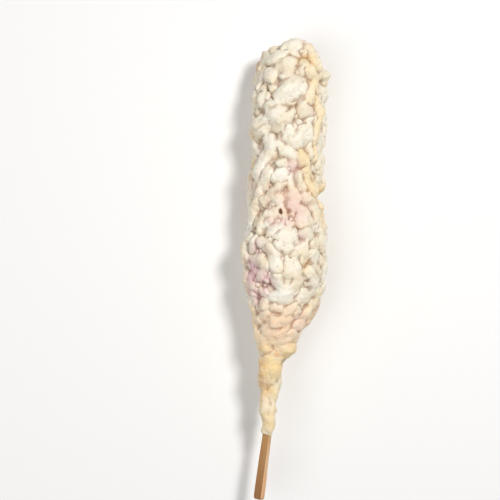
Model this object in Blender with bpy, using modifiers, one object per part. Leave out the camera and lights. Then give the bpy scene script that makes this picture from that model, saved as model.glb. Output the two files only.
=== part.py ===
"""A battered sausage on a flat wooden stick, lying on its side.

The sausage runs along Y, its domed end at +Y and its stick at -Y, with +Z up. The origin is on the
plane that it rests on, under the middle of the body. The crust is one solid, a smooth core with
craggy lumps of fried batter fused to it, and the stick is another, in a socket in the crust.
"""

import bisect
import math
import random

import bmesh
import bpy
from mathutils import Matrix, Vector

MM = 0.001

# Lengths along the sausage, counted from the tip of the dome
TIP_Y = 78.5 * MM
DOME_START = 1.6 * MM
DOME_END = 20 * MM
TAPER_START = 128 * MM
NECK_START = 163 * MM
NECK_THIN = 196 * MM
BATTER_END = 198 * MM

# Radius of the core under the crags, and of the bare neck below them: (along, radius)
CORE_STATIONS = (
    (20 * MM, 15.8 * MM),
    (31 * MM, 16.6 * MM),
    (46 * MM, 17.0 * MM),
    (56 * MM, 15.8 * MM),
    (65 * MM, 16.8 * MM),
    (84 * MM, 16.8 * MM),
    (94 * MM, 17.4 * MM),
    (102 * MM, 19.0 * MM),
    (112 * MM, 18.7 * MM),
    (121 * MM, 18.0 * MM),
    (131 * MM, 15.8 * MM),
    (140 * MM, 13.4 * MM),
    (146 * MM, 10.8 * MM),
    (153 * MM, 8.3 * MM),
    (158 * MM, 7.4 * MM),
    (163 * MM, 6.2 * MM),
    (170 * MM, 5.8 * MM),
    (177 * MM, 5.3 * MM),
    (181 * MM, 4.8 * MM),
    (185 * MM, 5.2 * MM),
    (189 * MM, 4.6 * MM),
    (194 * MM, 3.7 * MM),
    (198 * MM, 3.5 * MM),
)
CORE_SIDES = 24
CORE_STEP = 2.5 * MM
DOME_RINGS = (1.8 * MM, 2.4 * MM, 3.6 * MM, 5.5 * MM, 8 * MM)

# The axis leans a little, and rises a little towards the stick, because the body is thicker there
BODY_OFFSET = 2.3 * MM
BODY_LEAN = -0.024
TIP_SHIFT = 2 * MM
AXIS_HEIGHT = 16 * MM
AXIS_RISE = 0.023
NECK_SAG = 2.5 * MM
NECK_FLATNESS = 0.65
END_SLANT = 1 * MM

# Stick
STICK_WIDTH = 5.6 * MM
STICK_THICKNESS = 2.5 * MM
STICK_START = 70 * MM
STICK_SHOULDER = 196 * MM
STICK_WIDEST = 224 * MM
STICK_END = 229.8 * MM
STICK_SHAFT = 0.84
STICK_END_X = -13.7 * MM
STICK_LEAN = -0.13
STICK_TURN = math.radians(43)
STICK_EDGE = 0.35 * MM
STICK_CORNER = 1.5 * MM
SOCKET_GAP = 0.3 * MM

# Crags on the side that shows: (along, x, length, width, height, turn in degrees from +X to +Y)
SHOWN_CRAGS = (
    (5.5, 7.5, 12, 9, 2.4, 0),
    (9, -8, 8, 7, 3, 30),
    (13, -6.5, 13, 7, 3.2, 30),
    (15.5, 2, 9, 7, 3.2, -50),
    (13, 11.5, 8, 6, 2.6, 80),
    (19.5, -6, 8, 7, 3.2, 40),
    (17, 9, 10, 5.5, 3.4, 85),
    (18.5, 19, 11, 7, 5, 80),
    (26, 3.5, 17, 8, 3.3, 25),
    (32, -5, 11, 5, 3, 50),
    (32.5, -11, 9, 4.5, 2.8, 85),
    (30, 19, 9, 6, 4.2, 85),
    (34.5, 10, 12, 8, 3.2, 100),
    (40, -4.5, 14, 7, 3.2, 35),
    (45, 2, 15, 6, 3, 80),
    (45, -18.5, 10, 6, 3.4, 80),
    (49.5, 9.5, 15, 8.5, 3.4, 60),
    (54, -3, 12, 6.5, 3, -35),
    (63, -0.5, 6, 5, 3, 0),
    (68, 4, 9, 7, 2.2, 60),
    (75, 2.5, 10, 9, 2.2, 70),
    (84, 3.5, 17, 14, 2, 80),
    (96, -5, 10.5, 5, 3, 40),
    (100.5, 1, 12, 9, 3.2, -15),
    (103, -21, 11, 7, 4, 80),
    (105, 9, 9, 6, 3, 80),
    (110.5, -3.5, 11, 5, 3.2, -50),
    (111, -13, 10, 6, 3, -15),
    (115.5, 3, 16, 9, 3, 75),
    (116.5, 17.5, 13, 7, 3, 75),
    (120.5, -3.5, 10, 5, 3.2, 95),
    (122.5, 7, 9, 7, 3, 60),
    (128.5, -1.5, 13, 7, 3.2, 5),
    (138, -9.5, 10, 6, 2.8, 30),
    (141, 2, 12, 8.5, 2.8, 50),
    (144.5, -6.5, 9, 7.5, 2.8, 80),
    (152, -8, 12, 7, 2.2, 75),
    (155.5, 1, 10, 8, 3.4, 10),
    (170, -11.5, 8, 5, 1.6, 80),
    (184.5, -12, 8, 5, 1.6, 80),
)

# Crags that it rests on, under the middle of the core: (along, length, width, height)
RESTING_CRAGS = (
    (24, 16, 11, 3),
    (78.5, 20, 13, 3),
    (110, 16, 12, 3),
)

# Length in millimetres from which a crag is modelled finer
LARGE_CRAG = 15

# Across the core, the share of its radius at which crags placed by their x stop
PLACED_REACH = 0.98
# Half the distances over which the slope of the core is taken, along and around it
SLOPE_STEP = 0.5 * MM
SLOPE_ANGLE = 0.02

# Ridges, drips of batter that run down the shown side: (along, x) of each end, width, number of lumps
SHOWN_RIDGES = (
    ((59.5, -7), (82, -17.5), 6.5, 6),
    ((67.5, -3), (87, -14), 6, 6),
    ((58, 9), (80.5, 14.5), 5.5, 6),
    ((8, 13.5), (43, 16), 5.5, 8),
)
RIDGE_LUMP_LENGTH = 7.5 * MM
RIDGE_WIDTH_SHARES = (0.85, 1.1)
RIDGE_HEIGHTS = (2.8 * MM, 3.3 * MM)

# The rest of the crags are spread by a rule: a place is drawn and kept where none stands too near
CRAG_DRAWS = 2600
CRAG_SPACING = 0.82
CRAG_LENGTHS = (6.5 * MM, 11.5 * MM)
CRAG_WIDTHS = (5.2 * MM, 7.2 * MM)
CRAG_HEIGHTS = (2.0 * MM, 3.2 * MM)
CRAG_FIRST = 2 * MM
CRAG_LAST = 151 * MM
SEED = 11

# The joined lumps run into each other in rounded creases
BLEND_GRID = 0.8 * MM
BLEND_PASSES = 2
BLEND_FACTOR = 0.5
CRUST_TRIANGLES = 10800

# A slab under the resting plane: width, length and depth
FLOOR_SLAB = (120 * MM, 300 * MM, 40 * MM)

CRUST_COLOUR = (0.81, 0.72, 0.57, 1)
STICK_COLOUR = (0.52, 0.30, 0.14, 1)


def clear_scene():
    for obj in list(bpy.data.objects):
        bpy.data.objects.remove(obj)


def new_collection(name):
    collection = bpy.data.collections.new(name)
    bpy.context.scene.collection.children.link(collection)
    return collection


def new_material(name, colour, roughness):
    material = bpy.data.materials.new(name)
    material.use_nodes = True
    shader = material.node_tree.nodes["Principled BSDF"]
    shader.inputs["Base Color"].default_value = colour
    shader.inputs["Roughness"].default_value = roughness
    return material


def smooth_step(value, low, high):
    share = min(1.0, max(0.0, (value - low) / (high - low)))
    return share * share * (3 - 2 * share)


def core_radius(along):
    """Radius of the core: an elliptic dome, then smooth steps from station to station."""
    first_along, first_radius = CORE_STATIONS[0]
    if along <= first_along:
        rest = (DOME_END - along) / (DOME_END - DOME_START)
        return first_radius * math.sqrt(max(0.0, 1 - rest * rest))
    index = bisect.bisect_left([station[0] for station in CORE_STATIONS], along)
    if index == len(CORE_STATIONS):
        return CORE_STATIONS[-1][1]
    low, high = CORE_STATIONS[index - 1], CORE_STATIONS[index]
    share = smooth_step(along, low[0], high[0])
    return low[1] + share * (high[1] - low[1])


def stick_x(along):
    return STICK_END_X + STICK_LEAN * (along - STICK_END)


def axis_height(along):
    return AXIS_HEIGHT + AXIS_RISE * along


def core_centre(along):
    """The middle of the core: nearly straight in the body, then over to the neck beside the stick."""
    body_x = BODY_OFFSET + BODY_LEAN * along + TIP_SHIFT * (1 - smooth_step(along, 0, DOME_END))
    sag = NECK_SAG * min(1, max(0, (NECK_THIN - along) / (NECK_THIN - NECK_START)))
    share = smooth_step(along, TAPER_START, NECK_START)
    x = body_x + share * (stick_x(along) - sag - body_x)
    return Vector((x, TIP_Y - along, axis_height(along)))


def core_point(along, angle):
    """A point on the core. The angle is 0 at the top and grows towards +X. The neck flattens."""
    out = Vector((math.sin(angle), 0, math.cos(angle)))
    share = smooth_step(along, NECK_START, NECK_THIN)
    thin = Vector((-math.sin(STICK_TURN), 0, math.cos(STICK_TURN)))
    out -= share * (1 - NECK_FLATNESS) * out.dot(thin) * thin
    point = core_centre(along) + core_radius(along) * out
    point.y -= share * END_SLANT * math.sin(angle)
    return point


def angle_at(along, x):
    """The angle of the upper point of the core that has this x."""
    across = (x - core_centre(along).x) / max(core_radius(along), MM)
    return math.asin(min(PLACED_REACH, max(-PLACED_REACH, across)))


def make_core():
    """The smooth core and neck, rings of points closed by a fan at each end."""
    places = list(DOME_RINGS)
    while places[-1] < BATTER_END:
        places.append(min(places[-1] + CORE_STEP, BATTER_END))
    shape = bmesh.new()
    rings = []
    for along in places:
        turns = [index * math.tau / CORE_SIDES for index in range(CORE_SIDES)]
        rings.append([shape.verts.new(core_point(along, turn)) for turn in turns])
    for ring, other in zip(rings, rings[1:]):
        for index in range(CORE_SIDES):
            after = (index + 1) % CORE_SIDES
            shape.faces.new((ring[index], ring[after], other[after], other[index]))
    shape.faces.new(rings[0])
    shape.faces.new(rings[-1])
    bmesh.ops.recalc_face_normals(shape, faces=shape.faces)
    mesh = bpy.data.meshes.new("crust")
    shape.to_mesh(mesh)
    shape.free()
    return bpy.data.objects.new("crust", mesh)


def surface_frame(along, angle, turn):
    """A matrix at a point of the core: X along the crag, Y across it and Z out of the surface."""
    around = core_point(along, angle + SLOPE_ANGLE) - core_point(along, angle - SLOPE_ANGLE)
    around.normalize()
    towards_tip = core_point(max(along - SLOPE_STEP, DOME_START), angle)
    towards_tip -= core_point(along + SLOPE_STEP, angle)
    outward = around.cross(towards_tip).normalized()
    towards_tip = outward.cross(around).normalized()
    heading = math.cos(turn) * around + math.sin(turn) * towards_tip
    frame = Matrix((heading, outward.cross(heading), outward)).transposed().to_4x4()
    frame.translation = core_point(along, angle)
    return frame


def make_crag(crags, draw, along, angle, size, turn, fineness):
    """One lump of batter, an ellipsoid half sunk in the core. Size is length, width, height."""
    mesh = bpy.data.meshes.new("crag")
    lump = bmesh.new()
    spin = Matrix.Rotation(draw.uniform(0, math.tau), 4, "Z")
    spin @= Matrix.Rotation(draw.uniform(0, math.tau), 4, "X")
    bmesh.ops.create_icosphere(lump, subdivisions=fineness, radius=1, matrix=spin)
    bmesh.ops.scale(lump, verts=lump.verts, vec=(size[0] / 2, size[1] / 2, size[2]))
    lump.transform(surface_frame(along, angle, turn))
    lump.to_mesh(mesh)
    lump.free()
    crags.objects.link(bpy.data.objects.new("crag", mesh))


def shown_crags(crags, draw):
    """The crags placed by hand. It gives back the middle and width of each."""
    taken = []
    for along, x, length, width, height, turn in SHOWN_CRAGS:
        along, size = along * MM, (length * MM, width * MM, height * MM)
        angle = angle_at(along, x * MM)
        make_crag(crags, draw, along, angle, size, math.radians(turn), 3 if length >= LARGE_CRAG else 2)
        taken.append((core_point(along, angle), (size[0] + size[1]) / 2))
    for along, length, width, height in RESTING_CRAGS:
        make_crag(crags, draw, along * MM, math.pi, (length * MM, width * MM, height * MM), math.pi / 2, 3)
        taken.append((core_point(along * MM, math.pi), (length + width) / 2 * MM))
    for (along, x), (last_along, last_x), width, count in SHOWN_RIDGES:
        turn = math.atan2(along - last_along, last_x - x)
        for index in range(count):
            share = index / (count - 1)
            place = (along + share * (last_along - along)) * MM
            angle = angle_at(place, (x + share * (last_x - x)) * MM)
            lump_width = width * MM * draw.uniform(*RIDGE_WIDTH_SHARES)
            size = (RIDGE_LUMP_LENGTH, lump_width, draw.uniform(*RIDGE_HEIGHTS))
            make_crag(crags, draw, place, angle, size, turn, 2)
            taken.append((core_point(place, angle), width * MM))
    return taken


def spread_crags(crags, draw, taken):
    """Crags all over the rest of the body, as near to each other as the spacing lets them."""
    widest = max(radius for place, radius in CORE_STATIONS)
    for attempt in range(CRAG_DRAWS):
        along = draw.uniform(CRAG_FIRST, CRAG_LAST)
        angle = draw.uniform(-math.pi, math.pi)
        size = [draw.uniform(*limits) for limits in (CRAG_LENGTHS, CRAG_WIDTHS, CRAG_HEIGHTS)]
        turn = draw.uniform(0, math.pi)
        if draw.uniform(0, widest) > core_radius(along):
            continue
        middle = core_point(along, angle)
        if all((middle - other).length > CRAG_SPACING * (reach + size[1]) / 2 for other, reach in taken):
            make_crag(crags, draw, along, angle, size, turn, 2)
            taken.append((middle, size[1]))


def bake(obj):
    """Applies the modifiers of an object."""
    bpy.context.view_layer.update()
    evaluated = obj.evaluated_get(bpy.context.evaluated_depsgraph_get())
    baked = bpy.data.meshes.new_from_object(evaluated)
    obj.modifiers.clear()
    obj.data = baked


def count_triangles(obj):
    return sum(len(face.vertices) - 2 for face in obj.data.polygons)


def apply_boolean(obj, operation, operand):
    """Applies one Boolean with an object or a collection."""
    modifier = obj.modifiers.new(operation.lower(), "BOOLEAN")
    modifier.operation = operation
    modifier.solver = "MANIFOLD"
    if isinstance(operand, bpy.types.Collection):
        modifier.operand_type = "COLLECTION"
        modifier.collection = operand
    else:
        modifier.object = operand
    bake(obj)


def blend_lumps(obj):
    """Rounds the creases between the lumps, then merges the smallest triangles."""
    remesh = obj.modifiers.new("remesh", "REMESH")
    remesh.mode = "VOXEL"
    remesh.voxel_size = BLEND_GRID
    smooth = obj.modifiers.new("smooth", "SMOOTH")
    smooth.factor = BLEND_FACTOR
    smooth.iterations = BLEND_PASSES
    bake(obj)
    decimate = obj.modifiers.new("decimate", "DECIMATE")
    decimate.use_collapse_triangulate = True
    decimate.ratio = min(1.0, CRUST_TRIANGLES / count_triangles(obj))
    bake(obj)


def remove_collection(collection):
    for obj in list(collection.objects):
        bpy.data.objects.remove(obj)
    bpy.data.collections.remove(collection)


def keep_outer_surface(obj):
    """Drops loose scraps and the walls of sealed hollows, which are all smaller than the crust."""
    shape = bmesh.new()
    shape.from_mesh(obj.data)
    left = set(shape.verts)
    islands = []
    while left:
        island, edge = set(), [left.pop()]
        while edge:
            vert = edge.pop()
            island.add(vert)
            for link in vert.link_edges:
                other = link.other_vert(vert)
                if other in left:
                    left.discard(other)
                    edge.append(other)
        islands.append(island)
    islands.sort(key=len)
    scraps = [vert for island in islands[:-1] for vert in island]
    bmesh.ops.delete(shape, geom=scraps, context="VERTS")
    shape.to_mesh(obj.data)
    shape.free()


def make_stick(name, margin):
    """The stick, a flat bar wider at its free end, or with a margin the cutter for its socket."""
    start = Vector((stick_x(STICK_START), TIP_Y - STICK_START, axis_height(STICK_START)))
    end = Vector((stick_x(STICK_END), TIP_Y - STICK_END, axis_height(STICK_END)))
    out = (end - start).normalized()
    stations = (
        (STICK_START - margin, STICK_SHAFT),
        (STICK_SHOULDER, STICK_SHAFT),
        (STICK_WIDEST, 1),
        (STICK_END + margin, 1),
    )
    bar = bmesh.new()
    rings = []
    for along, scale in stations:
        half_width = scale * STICK_WIDTH / 2 + margin
        half_thickness = scale * STICK_THICKNESS / 2 + margin
        corners = ((-1, -1), (1, -1), (1, 1), (-1, 1))
        place = along - STICK_END
        rings.append([bar.verts.new((x * half_width, y * half_thickness, place)) for x, y in corners])
    for ring, other in zip(rings, rings[1:]):
        for index in range(4):
            after = (index + 1) % 4
            bar.faces.new((ring[index], ring[after], other[after], other[index]))
    bar.faces.new(rings[0])
    last = bar.faces.new(rings[-1])
    bmesh.ops.recalc_face_normals(bar, faces=bar.faces)
    if not margin:
        short = [edge for edge in last.edges if edge.calc_length() < STICK_WIDTH / 2]
        bmesh.ops.bevel(bar, geom=short, offset=STICK_CORNER, segments=4, profile=0.5, affect="EDGES")
    mesh = bpy.data.meshes.new(name)
    bar.to_mesh(mesh)
    bar.free()
    stick = bpy.data.objects.new(name, mesh)
    wide_normal = Vector((-math.sin(STICK_TURN), 0, math.cos(STICK_TURN)))
    wide_normal = (wide_normal - wide_normal.dot(out) * out).normalized()
    placed = Matrix((wide_normal.cross(out), wide_normal, out)).transposed().to_4x4()
    placed.translation = end
    stick.matrix_world = placed
    return stick


def make_cutter(cutters, obj):
    cutters.objects.link(obj)
    obj.hide_render = True
    obj.display_type = "WIRE"
    return obj


def make_floor_cutter(cutters):
    """A slab under the resting plane: it presses the underside flat."""
    mesh = bpy.data.meshes.new("floor_cutter")
    slab = bmesh.new()
    bmesh.ops.create_cube(slab, size=1)
    bmesh.ops.scale(slab, verts=slab.verts, vec=FLOOR_SLAB)
    bmesh.ops.translate(slab, verts=slab.verts, vec=(0, 0, -FLOOR_SLAB[2] / 2))
    slab.to_mesh(mesh)
    slab.free()
    return make_cutter(cutters, bpy.data.objects.new("floor_cutter", mesh))


def make_crust(part, cutters):
    draw = random.Random(SEED)
    crust = make_core()
    part.objects.link(crust)
    crags = new_collection("crags")
    taken = shown_crags(crags, draw)
    spread_crags(crags, draw, taken)
    apply_boolean(crust, "UNION", crags)
    remove_collection(crags)
    keep_outer_surface(crust)
    blend_lumps(crust)
    apply_boolean(crust, "DIFFERENCE", make_floor_cutter(cutters))
    apply_boolean(crust, "DIFFERENCE", make_cutter(cutters, make_stick("socket_cutter", SOCKET_GAP)))
    keep_outer_surface(crust)
    crust.data.materials.clear()
    crust.data.materials.append(new_material("fried_batter", CRUST_COLOUR, 0.75))
    print("crust:", len(taken), "lumps,", count_triangles(crust), "triangles")


def main():
    clear_scene()
    part = new_collection("corn_dog")
    cutters = new_collection("cutters")
    make_crust(part, cutters)
    stick = make_stick("stick", 0)
    part.objects.link(stick)
    edges = stick.modifiers.new("edges", "BEVEL")
    edges.width = STICK_EDGE
    edges.segments = 2
    edges.limit_method = "ANGLE"
    edges.angle_limit = math.radians(40)
    stick.data.materials.append(new_material("bamboo", STICK_COLOUR, 0.6))


main()
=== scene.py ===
import bisect
import collections
import math
import random

import bpy
import numpy as np
from mathutils import Matrix, Vector, noise


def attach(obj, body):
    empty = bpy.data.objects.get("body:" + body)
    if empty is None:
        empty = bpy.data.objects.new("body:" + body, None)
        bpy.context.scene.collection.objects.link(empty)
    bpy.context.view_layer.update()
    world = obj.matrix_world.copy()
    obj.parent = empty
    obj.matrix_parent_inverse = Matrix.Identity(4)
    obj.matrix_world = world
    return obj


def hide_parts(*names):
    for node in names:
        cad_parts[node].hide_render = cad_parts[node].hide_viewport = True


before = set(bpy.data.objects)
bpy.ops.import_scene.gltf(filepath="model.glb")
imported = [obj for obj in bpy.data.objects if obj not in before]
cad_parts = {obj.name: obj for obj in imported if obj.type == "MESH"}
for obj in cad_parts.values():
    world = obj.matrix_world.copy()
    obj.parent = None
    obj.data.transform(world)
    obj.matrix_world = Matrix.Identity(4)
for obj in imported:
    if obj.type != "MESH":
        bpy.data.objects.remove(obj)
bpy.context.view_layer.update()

MM = 0.001

# A crag: a frame for each bead that it is made of, its length, width and height, its bend, how much it
# leans along and across itself, and how yellow it is all over
Crag = collections.namedtuple("Crag", "places length width height bend tilts yellow", defaults=(0,))

# The food's own measures, as the solids have them, counted from the tip of the dome
TIP_Y = 78.5 * MM
DOME_START = 1.6 * MM
DOME_END = 20 * MM
TAPER_START = 128 * MM
NECK_START = 163 * MM
NECK_THIN = 196 * MM
BATTER_END = 198 * MM

# Radius of the core under the crags, and of the bare neck below them: (along, radius)
CORE_STATIONS = (
    (20 * MM, 15.8 * MM),
    (31 * MM, 16.6 * MM),
    (46 * MM, 17.0 * MM),
    (56 * MM, 15.8 * MM),
    (65 * MM, 16.8 * MM),
    (84 * MM, 16.8 * MM),
    (94 * MM, 17.4 * MM),
    (102 * MM, 19.0 * MM),
    (112 * MM, 18.7 * MM),
    (121 * MM, 18.0 * MM),
    (131 * MM, 15.8 * MM),
    (140 * MM, 13.4 * MM),
    (146 * MM, 10.8 * MM),
    (153 * MM, 8.3 * MM),
    (158 * MM, 7.4 * MM),
    (163 * MM, 6.2 * MM),
    (170 * MM, 5.8 * MM),
    (177 * MM, 5.3 * MM),
    (181 * MM, 4.8 * MM),
    (185 * MM, 5.2 * MM),
    (189 * MM, 4.6 * MM),
    (194 * MM, 3.7 * MM),
    (198 * MM, 3.5 * MM),
)
CORE_SIDES = 96
CORE_STEP = 1.5 * MM
TIP_HOLE = 0.1 * MM
# The slope of the core is measured over these steps, and a crag on the outline lies this near to it
SLOPE_STEP = 0.5 * MM
SLOPE_ANGLE = 0.02
OUTLINE_SHARE = 0.98

BODY_OFFSET = 2.3 * MM
BODY_LEAN = -0.024
TIP_SHIFT = 2 * MM
AXIS_HEIGHT = 16 * MM
AXIS_RISE = 0.023
NECK_SAG = 2.5 * MM
NECK_FLATNESS = 0.65
END_SLANT = 1 * MM
STICK_END = 229.8 * MM
STICK_END_X = -13.7 * MM
STICK_LEAN = -0.13
STICK_TURN = math.radians(43)
STICK_START = 70 * MM
STICK_SHOULDER = 196 * MM
STICK_WIDEST = 224 * MM
STICK_WIDTH = 5.6 * MM
STICK_THICKNESS = 2.5 * MM
STICK_SHAFT = 0.84
STICK_EDGE = 0.4 * MM
STICK_EDGE_STEPS = 3
STICK_CORNER = 1.5 * MM
STICK_CORNER_STEPS = 5
STICK_END_SHARE = 0.85
STICK_SMOOTH_ANGLE = math.radians(50)
STICK_FIBRES = 14
STICK_STEP = 2 * MM
FIBRE_WIDTH = 0.5 * MM
FIBRE_LENGTH = 12 * MM
FIBRE_DEPTH = 0.1 * MM
FIBRE_LEVEL = 0.5

# Crags on the side that shows: (along, x, length, width, height, turn in degrees from +X to +Y)
DOME_CRAGS = (
    (7, -7.7, 7, 5, 2.6, 15),
    (5.5, 3.2, 10.5, 8, 2.8, 20),
    (4.3, 10.2, 8, 7, 2.4, -30),
    (11.3, -5.2, 11.5, 6, 3.2, 30),
    (15.8, 0.9, 8, 7.5, 3.3, -50),
    (9.5, 9.5, 5, 4, 2.6, -40),
    (16.8, 8.5, 9.5, 5.2, 3.3, 85),
    (19.5, -7, 8, 7, 3.4, 40),
    (21.2, -1.7, 4, 3.6, 3.2, 0),
    (26.6, -6.1, 4.6, 4, 3.2, 80),
    (21.2, 20.5, 8, 6, 6.3, 100),
    (20, 15.7, 6, 5, 3, 90),
    (11, -12, 7, 6, 4, 40),
    (29.5, -16.3, 8.5, 5, 3.2, 80),
    (23, -12.5, 8, 4.5, 3, 75),
    (31.7, -11.5, 8, 4, 3, 80),
    (34.9, -0.7, 10.5, 4, 3, 8),
    (40.5, 1.2, 10, 5.2, 3.1, 65),
    (37.2, 8.3, 8, 7.5, 3.4, 0),
    (28, 19, 10, 6, 4, 85),
    (32, 18.5, 6, 5, 3, 20),
    (39, 18.7, 8.5, 4.5, 3, 85),
)
MIDDLE_CRAGS = (
    (48.4, 0, 10, 6, 3.1, 95),
    (50, 8.3, 12.5, 8, 3.6, 55),
    (52.2, -7.7, 7.5, 6.2, 3.3, 10),
    (56.3, -1.2, 13, 6.5, 3.2, -33),
    (56, 11, 11, 4, 3, 88),
    (54.4, -15.7, 8, 5.4, 3.2, 80),
    (45, -18.5, 10, 6, 3.4, 80),
    (46, 18, 7.5, 5, 3, 80),
    (63.3, -2, 5, 4.8, 3.1, 0),
    (69, -4.2, 9, 7, 3.5, 15),
    (62.7, 15, 5.5, 4.5, 3, 80),
    (60.7, 18.7, 7.5, 4, 3.2, 85),
    (69, 17, 7, 6, 3, 60),
    (75.5, 17.8, 6.5, 4.5, 2.6, 85),
    (82.7, -5.2, 7.5, 5.2, 2.8, 10),
    (88.5, -9.3, 4.5, 4, 2.8, 0),
    (87.2, -3.3, 9, 8, 2.3, 0),
    (83.5, 1.8, 16, 14, 1.7, 80),
    (89, 9.2, 12, 9.5, 2.6, 85),
    (83.4, 16.2, 8.5, 5.5, 3.2, 80),
)
BELLY_CRAGS = (
    (96, -5.8, 12, 4.6, 3.3, 40),
    (95.5, -12.7, 5.5, 3.4, 3, 75),
    (100.7, 0, 12, 9, 3.6, -15),
    (98, 10, 8, 6.3, 3.2, 20),
    (106.5, -20.5, 12, 7, 4.6, 85),
    (99.7, -17, 6, 5, 3, 30),
    (102, -12, 5, 4.4, 3.2, 0),
    (104, -4.5, 6, 5, 3, 60),
    (116.3, 2, 15.5, 8, 3.3, 82),
    (108, 3.8, 5, 3.4, 3, 0),
    (106.5, -0.2, 3.6, 3.4, 3, 0),
    (106, 8.3, 8, 5, 3.2, 80),
    (100, 16.6, 12, 5, 3.2, 88),
    (111.5, -12.7, 11, 6, 3.2, -12),
    (118, -12, 8.5, 5, 2.6, 75),
    (121.7, -4.5, 10, 5, 3.3, 92),
    (122.5, 4.5, 8.5, 7.2, 3.2, 60),
    (128.7, -2.2, 11.5, 6.5, 3.4, 8),
    (127.7, -15.3, 5, 3.6, 2.8, 80),
    (126.5, -11.8, 5.5, 4.4, 2.9, 60),
    (130, 8, 9.5, 6, 3.2, 75),
    (116.5, 17.5, 13, 5, 3.2, 88),
    (119.5, -20, 9, 4.6, 3.2, 85),
)
TAPER_CRAGS = (
    (132.4, -11.5, 6.2, 5.5, 3, 30),
    (134, -5, 6.5, 4.6, 3, 10),
    (138, -10.5, 8.8, 4.2, 2.8, 25),
    (139.4, -4.7, 6.5, 6.2, 2.8, 0),
    (135.5, 0.7, 9, 4.6, 2.9, 22),
    (136.5, 4.5, 6, 4, 3, 85),
    (136.5, 9.5, 7, 5, 2.8, 40),
    (143.8, -8.3, 8.5, 7.2, 2.7, 70),
    (143.5, 5.5, 6.5, 5.5, 2.6, 50),
    (150, -3.8, 8.5, 7, 2.6, 50),
    (148.3, 2.5, 6.5, 6, 2.5, 0),
    (152.5, -9.8, 9.5, 7, 2.4, 80),
    (155, 1.2, 9.5, 7, 3.3, 10),
    (163, -7, 13, 8, 2.2, 85),
    (170, -12, 8, 5, 1.4, 80),
    (184.5, -12.3, 8, 5, 1.4, 85),
)

# Ridges, drips of batter that run down the shown side: width, how yellow, (along, x) of its points
RIDGES = (
    (4.5, 0.5, ((8, 11), (12, 12.8), (15.5, 14.6))),
    (5.5, 0.8, ((18.4, 10.4), (21.8, 12.1), (26.5, 12.6), (31.3, 10.9))),
    (7.5, 0, ((31.5, -2), (29, 1.5), (26.3, 5))),
    (5, 0, ((36.5, -8.3), (33.6, -5.6))),
    (6, 0, ((43.2, -12.5), (40.8, -8.5), (38.2, -3.5))),
    (5, 0, ((49, -13.5), (46.3, -8.8), (44, -4))),
    (3, 0.8, ((27, 13), (32.3, 13.5), (37, 15.2), (42.8, 15.2), (52, 12.4), (61, 12.9))),
    (6, 0, ((57.5, -7.5), (61.5, -9.8), (66.5, -12.6), (73, -16), (80.4, -18.4), (86, -18.6))),
    (5, 0, ((68.5, -8.6), (73.4, -10.8), (80.4, -13.9), (91, -16.6))),
    (3.8, 0, ((75, -3.4), (78, -7.2), (82, -10.3))),
    (5.2, 1, ((60.5, 8), (63.5, 8))),
    (5, 1, ((66.5, 8.8), (71.8, 10.6), (78, 12.9))),
    (3, 0.4, ((68.9, 5.2), (75.6, 7.5))),
    (5, 0.3, ((81.3, 10), (84.2, 12.3), (90.9, 14.7))),
    (5, 0, ((105.5, -8.4), (110, -6.4), (114.5, -4.4))),
    (4.5, 0, ((116, 10.4), (121, 12.7))),
    (4.5, 0.4, ((126.7, 14.7), (136.2, 12.7), (146, 8.5))),
    (3.5, 0.3, ((137.8, 1.5), (147.8, -2), (152.4, -4.8))),
    (5.5, 0.5, ((135, -17.2), (143, -14.6), (152.8, -11.6))),
)
# A ridge is a row of beads, each a little longer than wide, and stands higher where it is wide
RIDGE_STEP = 2 * MM
RIDGE_BEAD = 1.3
RIDGE_HEIGHT = 2.9 * MM
RIDGE_SLOPE = 0.22
RIDGE_CORE = 14 * MM

# Crags that it rests on, under the middle of the core: (along, length, width, height)
RESTING_CRAGS = (
    (24, 16, 11, 3),
    (78.5, 20, 13, 3),
    (110, 16, 12, 3),
)

# The rest of the crags are spread by a rule: a place is drawn and kept where none stands too near. Each
# pass has its draws, its spacing, its first and last place along the food, and the least and most length,
# width and height of a crag
CRAG_PASSES = (
    (2600, 0.82, (2, 151), (6.0, 11.0), (4.6, 7.0), (2.2, 3.8)),
    (3000, 0.82, (2, 151), (3.6, 6.5), (3.0, 4.6), (2.2, 3.4)),
    (4000, 0.72, (2, 128), (2.6, 4.2), (2.4, 3.4), (2.4, 3.2)),
    (1500, 0.85, (151, 194), (7.0, 13.0), (4.0, 6.0), (0.5, 1.0)),
)
# On the shown side these stay lower than the listed crags
SHOWN_ANGLE = math.radians(70)
SHOWN_SHARE = 0.68
# How far a crag bends, and how much higher one end or side of it stands than the other
BEND = 0.4
BEND_MIDDLE = 0.4
TILT = 0.2
MOST_LEAN = 0.5
SEED = 11
# The noise that creases wander by has a seed of its own, without which it differs from run to run
CREASE_SEED = 3

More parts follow.
